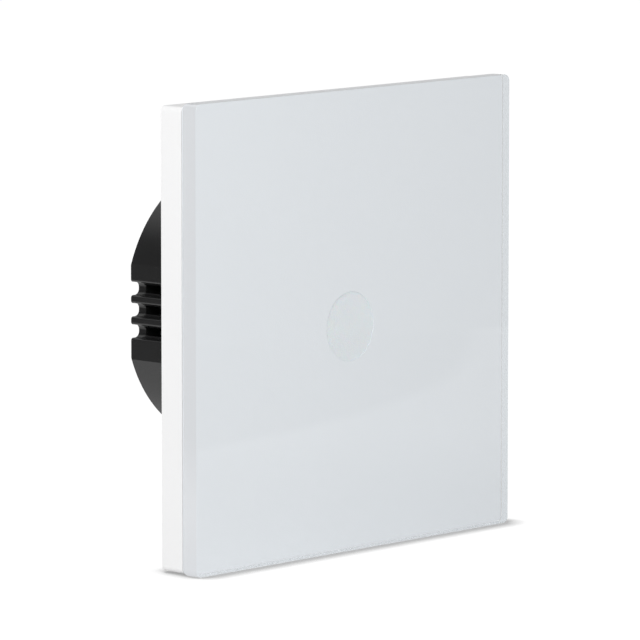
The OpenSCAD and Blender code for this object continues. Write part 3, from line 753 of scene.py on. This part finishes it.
class Bench:
    """Short ways to start a mesh, select on it and finish it with the hand tools."""

    @staticmethod
    def begin() -> None:
        """Leave edit mode and deselect everything, so that the next tool acts on the new piece alone."""
        if bpy.context.mode != "OBJECT":
            bpy.ops.object.mode_set(mode="OBJECT")
        bpy.ops.object.select_all(action="DESELECT")

    @staticmethod
    def hold(*pieces: bpy.types.Object) -> None:
        """Select these pieces alone and make the first one active.

        Args:
            pieces: The pieces.
        """
        Bench.begin()
        for piece in pieces:
            piece.select_set(True)
        bpy.context.view_layer.objects.active = pieces[0]

    @staticmethod
    def block(name: str, low: Vector, high: Vector) -> bpy.types.Object:
        """Add a block between two corners, its place in its mesh.

        Args:
            name: The piece's name.
            low: The lowest corner.
            high: The highest corner.

        Returns:
            The new object.
        """
        Bench.begin()
        bpy.ops.mesh.primitive_cube_add(size=1.0, location=(low + high) / 2)
        bpy.ops.transform.resize(value=high - low)
        return Bench.named(name)

    @staticmethod
    def rod(name: str, centre: Vector, radius: float, length: float, sides: int) -> bpy.types.Object:
        """Add a cylinder along the y axis, its place in its mesh.

        Args:
            name: The piece's name.
            centre: The middle of the cylinder.
            radius: Its radius.
            length: Its length.
            sides: The number of its sides.

        Returns:
            The new object.
        """
        Bench.begin()
        bpy.ops.mesh.primitive_cylinder_add(
            vertices=sides, radius=radius, depth=length, location=centre, rotation=(math.pi / 2, 0, 0)
        )
        return Bench.named(name)

    @staticmethod
    def named(name: str) -> bpy.types.Object:
        """Name the active object and put its place into its mesh.

        Args:
            name: The piece's name.

        Returns:
            The object.
        """
        obj = bpy.context.active_object
        obj.name = obj.data.name = name
        bpy.ops.object.transform_apply(location=True, rotation=True, scale=True)
        return obj

    @staticmethod
    def open(obj: bpy.types.Object, kind: str) -> None:
        """Make the piece active with nothing selected on it, for one kind of selection.

        Args:
            obj: The piece.
            kind: EDGE or FACE.
        """
        Bench.hold(obj)
        bpy.ops.object.mode_set(mode="EDIT")
        bpy.ops.mesh.select_mode(type=kind)
        bpy.ops.mesh.select_all(action="DESELECT")
        bpy.ops.object.mode_set(mode="OBJECT")

    @staticmethod
    def pick_edges(obj: bpy.types.Object, wanted: Choice) -> None:
        """Open edit mode with only the wanted edges selected.

        Args:
            obj: The piece.
            wanted: Tells from an edge's two ends whether it is selected.
        """
        Bench.open(obj, "EDGE")
        points = obj.data.vertices
        for edge in obj.data.edges:
            edge.select = wanted(*(points[i].co for i in edge.vertices))
        bpy.ops.object.mode_set(mode="EDIT")

    @staticmethod
    def pick_faces(obj: bpy.types.Object, wanted: Choice) -> None:
        """Open edit mode with only the wanted faces selected.

        Args:
            obj: The piece.
            wanted: Tells from a face's middle and normal whether it is selected.
        """
        Bench.open(obj, "FACE")
        for face in obj.data.polygons:
            face.select = wanted(face.center, face.normal)
        bpy.ops.object.mode_set(mode="EDIT")

    @staticmethod
    def finish_faces(obj: bpy.types.Object, finish: Finish, wanted: Choice) -> None:
        """Give some faces of a piece a finish of their own.

        Args:
            obj: The piece.
            finish: The finish.
            wanted: Tells from a face's middle and normal whether it gets the finish.
        """
        Bench.pick_faces(obj, wanted)
        obj.data.materials.append(finish.material())
        obj.active_material_index = len(obj.data.materials) - 1
        bpy.ops.object.material_slot_assign()
        Bench.begin()

    @staticmethod
    def apply(obj: bpy.types.Object, kind: str, **settings: object) -> None:
        """Add a modifier and apply it at once.

        Args:
            obj: The piece.
            kind: Blender's name of the modifier type.
            settings: The modifier's properties.
        """
        Bench.hold(obj)
        bpy.ops.object.modifier_add(type=kind)
        modifier = obj.modifiers[-1]
        for name, value in settings.items():
            setattr(modifier, name, value)
        bpy.ops.object.modifier_apply(modifier=modifier.name)

    @staticmethod
    def smooth(obj: bpy.types.Object, crease: float) -> None:
        """Shade a piece smooth, with its flat faces flat.

        Args:
            obj: The piece.
            crease: Edges sharper than this, in degrees, stay crisp.
        """
        Bench.hold(obj)
        bpy.ops.object.shade_smooth_by_angle(angle=math.radians(crease))
        Bench.apply(obj, "WEIGHTED_NORMAL", keep_sharp=True)


class Assembly(ABC):
    """A part of the object that is modelled or dressed in one go."""

    @abstractmethod
    def build(self) -> list[bpy.types.Object]:
        """Build the assembly.

        Returns:
            Its finished pieces.
        """

    @staticmethod
    def hand_over(obj: bpy.types.Object, slot: str, body: Body, node: str) -> bpy.types.Object:
        """Give a finished piece its finish and its body, and hide the solid that it stands for.

        Args:
            obj: The piece.
            slot: The record's slot for its finish.
            body: The body that it rides on.
            node: The solid that it replaces.

        Returns:
            The piece.
        """
        obj.data.materials.clear()
        obj.data.materials.append(FINISHES[slot].material())
        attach(obj, body.value)
        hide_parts(node)
        return obj


@dataclass
class GlassFront(Assembly):
    """The pane, the ink behind it and the diffuser in the ink's window."""

    corner_r: float = 1.2 * MM
    corner_steps: int = 10
    arris: float = 0.25 * MM
    arris_steps: int = 3
    touch_r: float = 6.5 * MM
    boss_height: float = 0.03 * MM
    boss_gap: float = 0.02 * MM
    recess_depth: float = 0.05 * MM
    recess_slope: float = 1 * MM
    bond: float = 0.02 * MM
    cutter_length: float = 4 * MM
    round_sides: int = 128
    slab_crease: float = 35.0
    disc_crease: float = 30.0
    # Edges whose ends differ by less than this along y lie in a slab's faces.
    same_depth: float = 0.01 * MM
    # The y part of a normal, below which a face is a side, and above which it is a front or a back.
    side_below: float = 0.1
    back_above: float = 0.99
    front_above: float = 0.9

    def build(self) -> list[bpy.types.Object]:
        """Build the three pieces, from the front to the back."""
        return [self.pane(), self.ink(), self.diffuser()]

    def pane(self) -> bpy.types.Object:
        """Model the pane: round corners, then a polished arris round both faces.

        Returns:
            The pane.
        """
        pane = Bench.block("glass_pane", *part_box("glass_panel"))
        self.round_corners(pane)
        Bench.pick_edges(pane, lambda a, b: abs(a.y - b.y) < self.same_depth)
        bpy.ops.mesh.bevel(offset=self.arris, segments=self.arris_steps, affect="EDGES")
        Bench.smooth(pane, self.slab_crease)
        self.hand_over(pane, "glass", Body.PANEL, "glass_panel")
        # The sides and the rear arris get the grey-tinted glass: painted shade along the pane's edges.
        Bench.finish_faces(pane, EDGE_GLASS_SHADED, lambda middle, normal: abs(normal.y) < self.side_below)
        Bench.finish_faces(
            pane, ARRIS_GLASS_SHADED, lambda middle, normal: self.side_below < normal.y < self.back_above
        )
        return pane

    def round_corners(self, slab: bpy.types.Object) -> None:
        """Round the four corners of a slab.

        Args:
            slab: A block that faces along y.
        """
        Bench.pick_edges(slab, lambda a, b: abs(a.y - b.y) > self.same_depth)
        bpy.ops.mesh.bevel(offset=self.corner_r, segments=self.corner_steps, affect="EDGES")

    def ink(self) -> bpy.types.Object:
        """Model the ink: a thin slab with the round window, keyed a hair into the glass.

        Returns:
            The ink layer.
        """
        low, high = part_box("back_print")
        keyed = Vector((low.x, low.y - self.bond, low.z))
        ink = Bench.block("ink_layer", keyed, high)
        self.round_corners(ink)
        touch_low, touch_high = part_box("light_diffuser")
        touch = (touch_low + touch_high) / 2
        cutter = Bench.rod("window_cutter", touch, self.touch_r, self.cutter_length, self.round_sides)
        Bench.apply(ink, "BOOLEAN", operation="DIFFERENCE", object=cutter, solver="EXACT")
        bpy.data.objects.remove(cutter)
        Bench.smooth(ink, self.slab_crease)
        return self.hand_over(ink, "white_ink", Body.PANEL, "back_print")

    def diffuser(self) -> bpy.types.Object:
        """Model the diffuser: a disc with a low boss in the ink's window and a shallow recess in the boss.

        Returns:
            The diffuser.
        """
        low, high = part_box("light_diffuser")
        rim_r = (high.x - low.x) / 2
        disc = Bench.rod("touch_diffuser", (low + high) / 2, rim_r, high.y - low.y, self.round_sides)
        Bench.pick_faces(disc, lambda middle, normal: -normal.y > self.front_above)
        bpy.ops.mesh.inset(thickness=rim_r - self.touch_r)
        bpy.ops.mesh.inset(thickness=self.boss_gap, depth=self.boss_height)
        bpy.ops.mesh.inset(thickness=self.recess_slope, depth=-self.recess_depth)
        Bench.smooth(disc, self.disc_crease)
        return self.hand_over(disc, "diffuser", Body.PANEL, "light_diffuser")


@dataclass
class WireCoil(Assembly):
    """A coil of round wire about an axis along y, from the box of the solid that it stands for."""

    name: str
    node: str
    slot: str
    wire_d: float
    turns: int
    packed: bool
    steps: int = 48
    sides: int = 12
    core_sides: int = 96
    weld: float = 0.0001 * MM
    crease: float = 60.0

    def build(self) -> list[bpy.types.Object]:
        """Model the coil: a ring of wire turned up along a screw, its ends closed.

        Returns:
            The coil, as the one piece.
        """
        low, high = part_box(self.node)
        middle = (low + high) / 2
        reach = (high.x - low.x) / 2 - self.wire_d / 2
        rise = high.y - low.y - self.wire_d
        Bench.begin()
        bpy.ops.mesh.primitive_circle_add(
            vertices=self.sides,
            radius=self.wire_d / 2,
            location=(middle.x, high.y - self.wire_d / 2, middle.z),
        )
        coil = bpy.context.active_object
        bpy.ops.object.mode_set(mode="EDIT")
        bpy.ops.transform.translate(value=(reach, 0.0, 0.0))
        bpy.ops.object.mode_set(mode="OBJECT")
        Bench.apply(
            coil, "SCREW", axis="Y", angle=math.tau, screw_offset=-rise / self.turns,
            iterations=self.turns, steps=self.steps, render_steps=self.steps,
            use_merge_vertices=True, merge_threshold=self.weld,
        )
        Bench.named(self.name)
        bpy.ops.object.mode_set(mode="EDIT")
        bpy.ops.mesh.select_all(action="SELECT")
        bpy.ops.mesh.fill_holes(sides=0)
        bpy.ops.mesh.normals_make_consistent(inside=False)
        Bench.begin()
        if self.packed:
            core = Bench.rod(f"{self.name}_core", middle, reach, rise, self.core_sides)
            Bench.hold(coil, core)
            bpy.ops.object.join()
        Bench.smooth(coil, self.crease)
        return [self.hand_over(coil, self.slot, Body.MODULE, self.node)]


# A packed winding has its inner layers as a plain core under the outer one.
COILS = (
    WireCoil("touch_spring_wire", "touch_spring", "tinned_steel", wire_d=0.5 * MM, turns=4, packed=False),
    WireCoil("choke_turns", "choke_winding", "copper_wire", wire_d=0.34 * MM, turns=14, packed=True),
    WireCoil("relay_turns", "relay_winding", "copper_wire", wire_d=0.2 * MM, turns=19, packed=True),
)


@dataclass
class SolidDress(Assembly):
    """Soft edges and a finish for every solid that stays in view."""

    nodes: dict[str, bpy.types.Object]
    edges: dict[str, Edge]
    other_edge: Edge = Edge.TINY
    edge_steps: int = 3
    sharp_angle: float = 35.0
    flat_angle: float = 0.5
    weld: float = 0.001 * MM

    def build(self) -> list[bpy.types.Object]:
        """Dress the solids that no new piece replaces.

        Returns:
            The dressed solids.
        """
        shown = {name: obj for name, obj in self.nodes.items() if not obj.hide_render}
        for name, obj in shown.items():
            slot = obj.data.materials[0].name
            obj.data.materials[0] = FINISHES[slot].material()
            self.soften(obj, self.edges.get(name, self.other_edge))
        return list(shown.values())

    def soften(self, obj: bpy.types.Object, edge: Edge) -> None:
        """Weld a solid's triangles, clear its flat faces, round its sharp edges and even out its shading.

        Args:
            obj: The solid.
            edge: How far its edges are rounded.
        """
        weld = obj.modifiers.new("weld", "WELD")
        weld.merge_threshold = self.weld
        flat = obj.modifiers.new("flat_faces", "DECIMATE")
        flat.decimate_type = "DISSOLVE"
        flat.angle_limit = math.radians(self.flat_angle)
        soft = obj.modifiers.new("soft_edges", "BEVEL")
        soft.width = edge.value
        soft.segments = self.edge_steps
        soft.limit_method = "ANGLE"
        soft.angle_limit = math.radians(self.sharp_angle)
        even = obj.modifiers.new("even_shading", "WEIGHTED_NORMAL")
        even.keep_sharp = True


EDGES = {
    "panel_frame": Edge.MOULDED,
    "rear_housing": Edge.FINE,
    "mounting_plate": Edge.MOULDED,
    "front_cover": Edge.MOULDED,
    "housing_screws": Edge.FINE,
    "terminal_block": Edge.MOULDED,
    "relay_case": Edge.MOULDED,
    "film_capacitor": Edge.MOULDED,
    "electrolytic_capacitor": Edge.MOULDED,
    "varistor": Edge.MOULDED,
    "fuse": Edge.MOULDED,
}


@dataclass(frozen=True)
class PaintedReflection:
    """A round patch of painted light or shade on the floor, which only the object's gloss shows: a painted
    reflection.
    """

    centre: tuple[float, float]
    radius: float
    softness: float
    level: float


@dataclass
class Studio:
    """White floor, soft light from the left and the camera of the photograph."""

    # The camera, and the pixel of a square picture on which the middle of the glass lands.
    azimuth: float = -47.47
    elevation: float = 7.305
    distance: float = 1.1064
    lens: float = 336.13
    sensor: float = 36.0
    nearest: float = 0.01
    picture_side: float = 640.0
    face_pixel: tuple[float, float] = (357.34, 320.56)

    # The floor, the share of its look that is plain white, and the shadow where the object meets it.
    floor_side: float = 8.0
    floor_gap: float = 0.05 * MM
    floor_white: Colour = (0.9, 0.9, 0.9)
    shown_share: float = 0.8
    shown_white: float = 1.13
    contact_reach: float = 5 * MM
    contact_lean: tuple[float, float, float] = (-0.5, 0.0, 0.87)
    contact_dark: float = 0.42
    contact_span: Span = (0.62, 0.98)

    # What shows of the floor in gloss and through glass, and the floor's painted reflections.
    floor_through_glass: float = 0.75
    gloss_floor: float = 0.12
    painted_reflections: tuple[PaintedReflection, ...] = (
        PaintedReflection((0.08, -0.08), 0.26, 0.04, 0.75),
        PaintedReflection((0.06, -0.02), 0.1, 0.08, 0.3),
        PaintedReflection((0.052, -0.395), 0.281, 0.006, 0.3),
        PaintedReflection((0.4, -0.7), 0.52, 0.006, 0.4),
        PaintedReflection((-0.03, 0.06), 0.06, 0.03, 0.55),
        PaintedReflection((-0.08, 0.07), 0.095, 0.08, 1.6),
    )

    # The light from all round, and what shows of the room in gloss and through glass.
    ambient: float = 0.515
    zenith: float = 0.64
    air_through_glass: float = 0.72
    gloss_left: float = 0.35
    gloss_right: float = 0.56
    gloss_middle: float = 0.14
    gloss_ceiling: float = 1.3
    across_span: Span = (-0.5, 0.5)
    wall_span: Span = (0.08, 0.25)
    ceiling_span: Span = (0.58, 0.74)

    # The lamp, placed from the middle of the glass.
    key_power: float = 2.16
    key_place: tuple[float, float, float] = (-0.48, -0.288, 0.36)
    key_size: float = 0.36

    def build(self) -> None:
        """Set up the camera, the floor, the surroundings and the lamp."""
        low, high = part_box("glass_panel")
        face = Vector(((low.x + high.x) / 2, low.y, (low.z + high.z) / 2))
        self.camera(face)
        self.floor(low.z - self.floor_gap)
        self.surroundings()
        self.key(face)
        bpy.context.scene.view_settings.view_transform = "Standard"

    @staticmethod
    def aim(obj: bpy.types.Object, direction: Vector) -> None:
        """Turn a camera or a lamp.

        Args:
            obj: The camera or lamp.
            direction: Where it looks or shines.
        """
        obj.rotation_mode = "QUATERNION"
        obj.rotation_quaternion = direction.to_track_quat("-Z", "Y")

    def camera(self, face: Vector) -> None:
        """Place the camera so that the middle of the glass lands on its pixel.

        Args:
            face: The middle of the glass front.
        """
        turn, tilt = math.radians(self.azimuth), math.radians(self.elevation)
        back = Vector((math.sin(turn) * math.cos(tilt), -math.cos(turn) * math.cos(tilt), math.sin(tilt)))
        right = Vector((math.cos(turn), math.sin(turn), 0.0))
        up = back.cross(right)
        metres_per_pixel = self.distance * self.sensor / self.lens / self.picture_side
        aside = (self.face_pixel[0] - self.picture_side / 2) * metres_per_pixel
        above = (self.picture_side / 2 - self.face_pixel[1]) * metres_per_pixel
        Bench.begin()
        bpy.ops.object.camera_add(location=face + back * self.distance - right * aside - up * above)
        camera = bpy.context.active_object
        self.aim(camera, -back)
        camera.data.lens = self.lens
        camera.data.sensor_width = self.sensor
        camera.data.clip_start = self.nearest
        bpy.context.scene.camera = camera
        LOG.info("camera: %.0f mm lens, %.3f m away", self.lens, self.distance)

    def floor(self, height: float) -> None:
        """Lay the white floor.

        Args:
            height: The floor's height.
        """
        Bench.begin()
        bpy.ops.mesh.primitive_plane_add(size=self.floor_side, location=(0.0, 0.0, height))
        floor = Bench.named("studio_floor")
        floor.data.materials.append(self.floor_material())
        LOG.info("floor at %.2f mm", height / MM)

    def floor_material(self) -> bpy.types.Material:
        """Make the floor's finish: matt white that lights the object, shown as white with a contact shadow.

        Returns:
            The material.
        """
        made = bpy.data.materials.new("studio_white")
        made.cycles.emission_sampling = "NONE"
        sheet = ShaderSheet.cleared(made)
        path = sheet.add("ShaderNodeLightPath").outputs
        matt = sheet.add("ShaderNodeBsdfDiffuse", {"Color": self.floor_white}).outputs[0]
        lean = sheet.add("ShaderNodeCombineXYZ", dict(zip("XYZ", self.contact_lean))).outputs[0]
        near = sheet.add("ShaderNodeAmbientOcclusion", {"Distance": self.contact_reach, "Normal": lean})
        shadow = sheet.spread(near.outputs["AO"], self.contact_dark, self.shown_white, *self.contact_span)
        # In gloss the floor shows dim, with its painted reflections over the contact shadow.
        dimmed = sheet.math("MULTIPLY", shadow, self.in_gloss(sheet))
        mirrored = sheet.pick(path["Is Glossy Ray"], shadow, dimmed)
        level = sheet.pick(path["Is Transmission Ray"], mirrored, self.floor_through_glass)
        white = sheet.add("ShaderNodeEmission", {"Strength": level}).outputs[0]
        seen = sheet.math("MAXIMUM", path["Is Camera Ray"], path["Is Glossy Ray"])
        lit = sheet.either(sheet.math("MULTIPLY", seen, self.shown_share), matt, white)
        underside = sheet.add("ShaderNodeNewGeometry").outputs["Backfacing"]
        sheet.add("ShaderNodeOutputMaterial", {"Surface": sheet.either(underside, lit, sheet.clear())})
        return made

    def in_gloss(self, sheet: ShaderSheet) -> Socket:
        """Give the floor's level where gloss shows it: dim far off, with its painted reflections.

        Args:
            sheet: The floor's tree.

        Returns:
            The level.
        """
        level = self.gloss_floor
        for patch in self.painted_reflections:
            about = sheet.coordinates(Vector((*patch.centre, 0.0)), FLAT_ALONG_Z)
            mask = RoundSpot.place(
                sheet, {"Vector": about, "Radius": patch.radius, "Softness": patch.softness}
            )["Mask"]
            level = sheet.pick(mask, level, patch.level)
        return level

    def surroundings(self) -> None:
        """Light the scene softly from all round, and show white behind it and a dim room in gloss."""
        world = bpy.data.worlds.new("studio_air")
        bpy.context.scene.world = world
        sheet = ShaderSheet.cleared(world)
        path = sheet.add("ShaderNodeLightPath").outputs
        ray = sheet.add("ShaderNodeTexCoord").outputs["Generated"]
        axes = sheet.add("ShaderNodeSeparateXYZ", {"Vector": ray}).outputs
        height = axes["Z"]
        horizon = sheet.spread(axes["X"], self.gloss_left, self.gloss_right, *self.across_span)
        wall = sheet.pick(sheet.spread(height, 0.0, 1.0, *self.wall_span), horizon, self.gloss_middle)
        ceiling = sheet.spread(height, 0.0, self.gloss_ceiling - self.gloss_middle, *self.ceiling_span)
        strength = sheet.spread(height, self.ambient, self.zenith)
        strength = sheet.pick(path["Is Glossy Ray"], strength, sheet.math("ADD", wall, ceiling))
        strength = sheet.pick(path["Is Transmission Ray"], strength, self.air_through_glass)
        strength = sheet.pick(path["Is Camera Ray"], strength, 1.0)
        air = sheet.add("ShaderNodeBackground", {"Color": (1.0, 1.0, 1.0), "Strength": strength})
        sheet.add("ShaderNodeOutputWorld", {"Surface": air.outputs[0]})

    def key(self, face: Vector) -> None:
        """Hang the soft lamp at the left.

        Args:
            face: The point that it faces.
        """
        place = face + Vector(self.key_place)
        Bench.begin()
        bpy.ops.object.light_add(type="AREA", location=place)
        lamp = bpy.context.active_object
        lamp.name = "key_lamp"
        lamp.data.energy = self.key_power
        lamp.data.shape = "SQUARE"
        lamp.data.size = self.key_size
        self.aim(lamp, face - place)


def main() -> None:
    """Load the part, set up the studio, then build each assembly in turn and report its pieces."""
    logging.basicConfig(level=logging.INFO, format="%(name)s: %(message)s")
    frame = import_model()
    Studio().build()
    for assembly in (GlassFront(), *COILS, SolidDress(frame["nodes"], EDGES)):
        for piece in assembly.build():
            LOG.info("%s: %s, %d faces", piece.name, piece.data.materials[0].name, len(piece.data.polygons))
    Bench.begin()


if __name__ == "__main__":
    main()
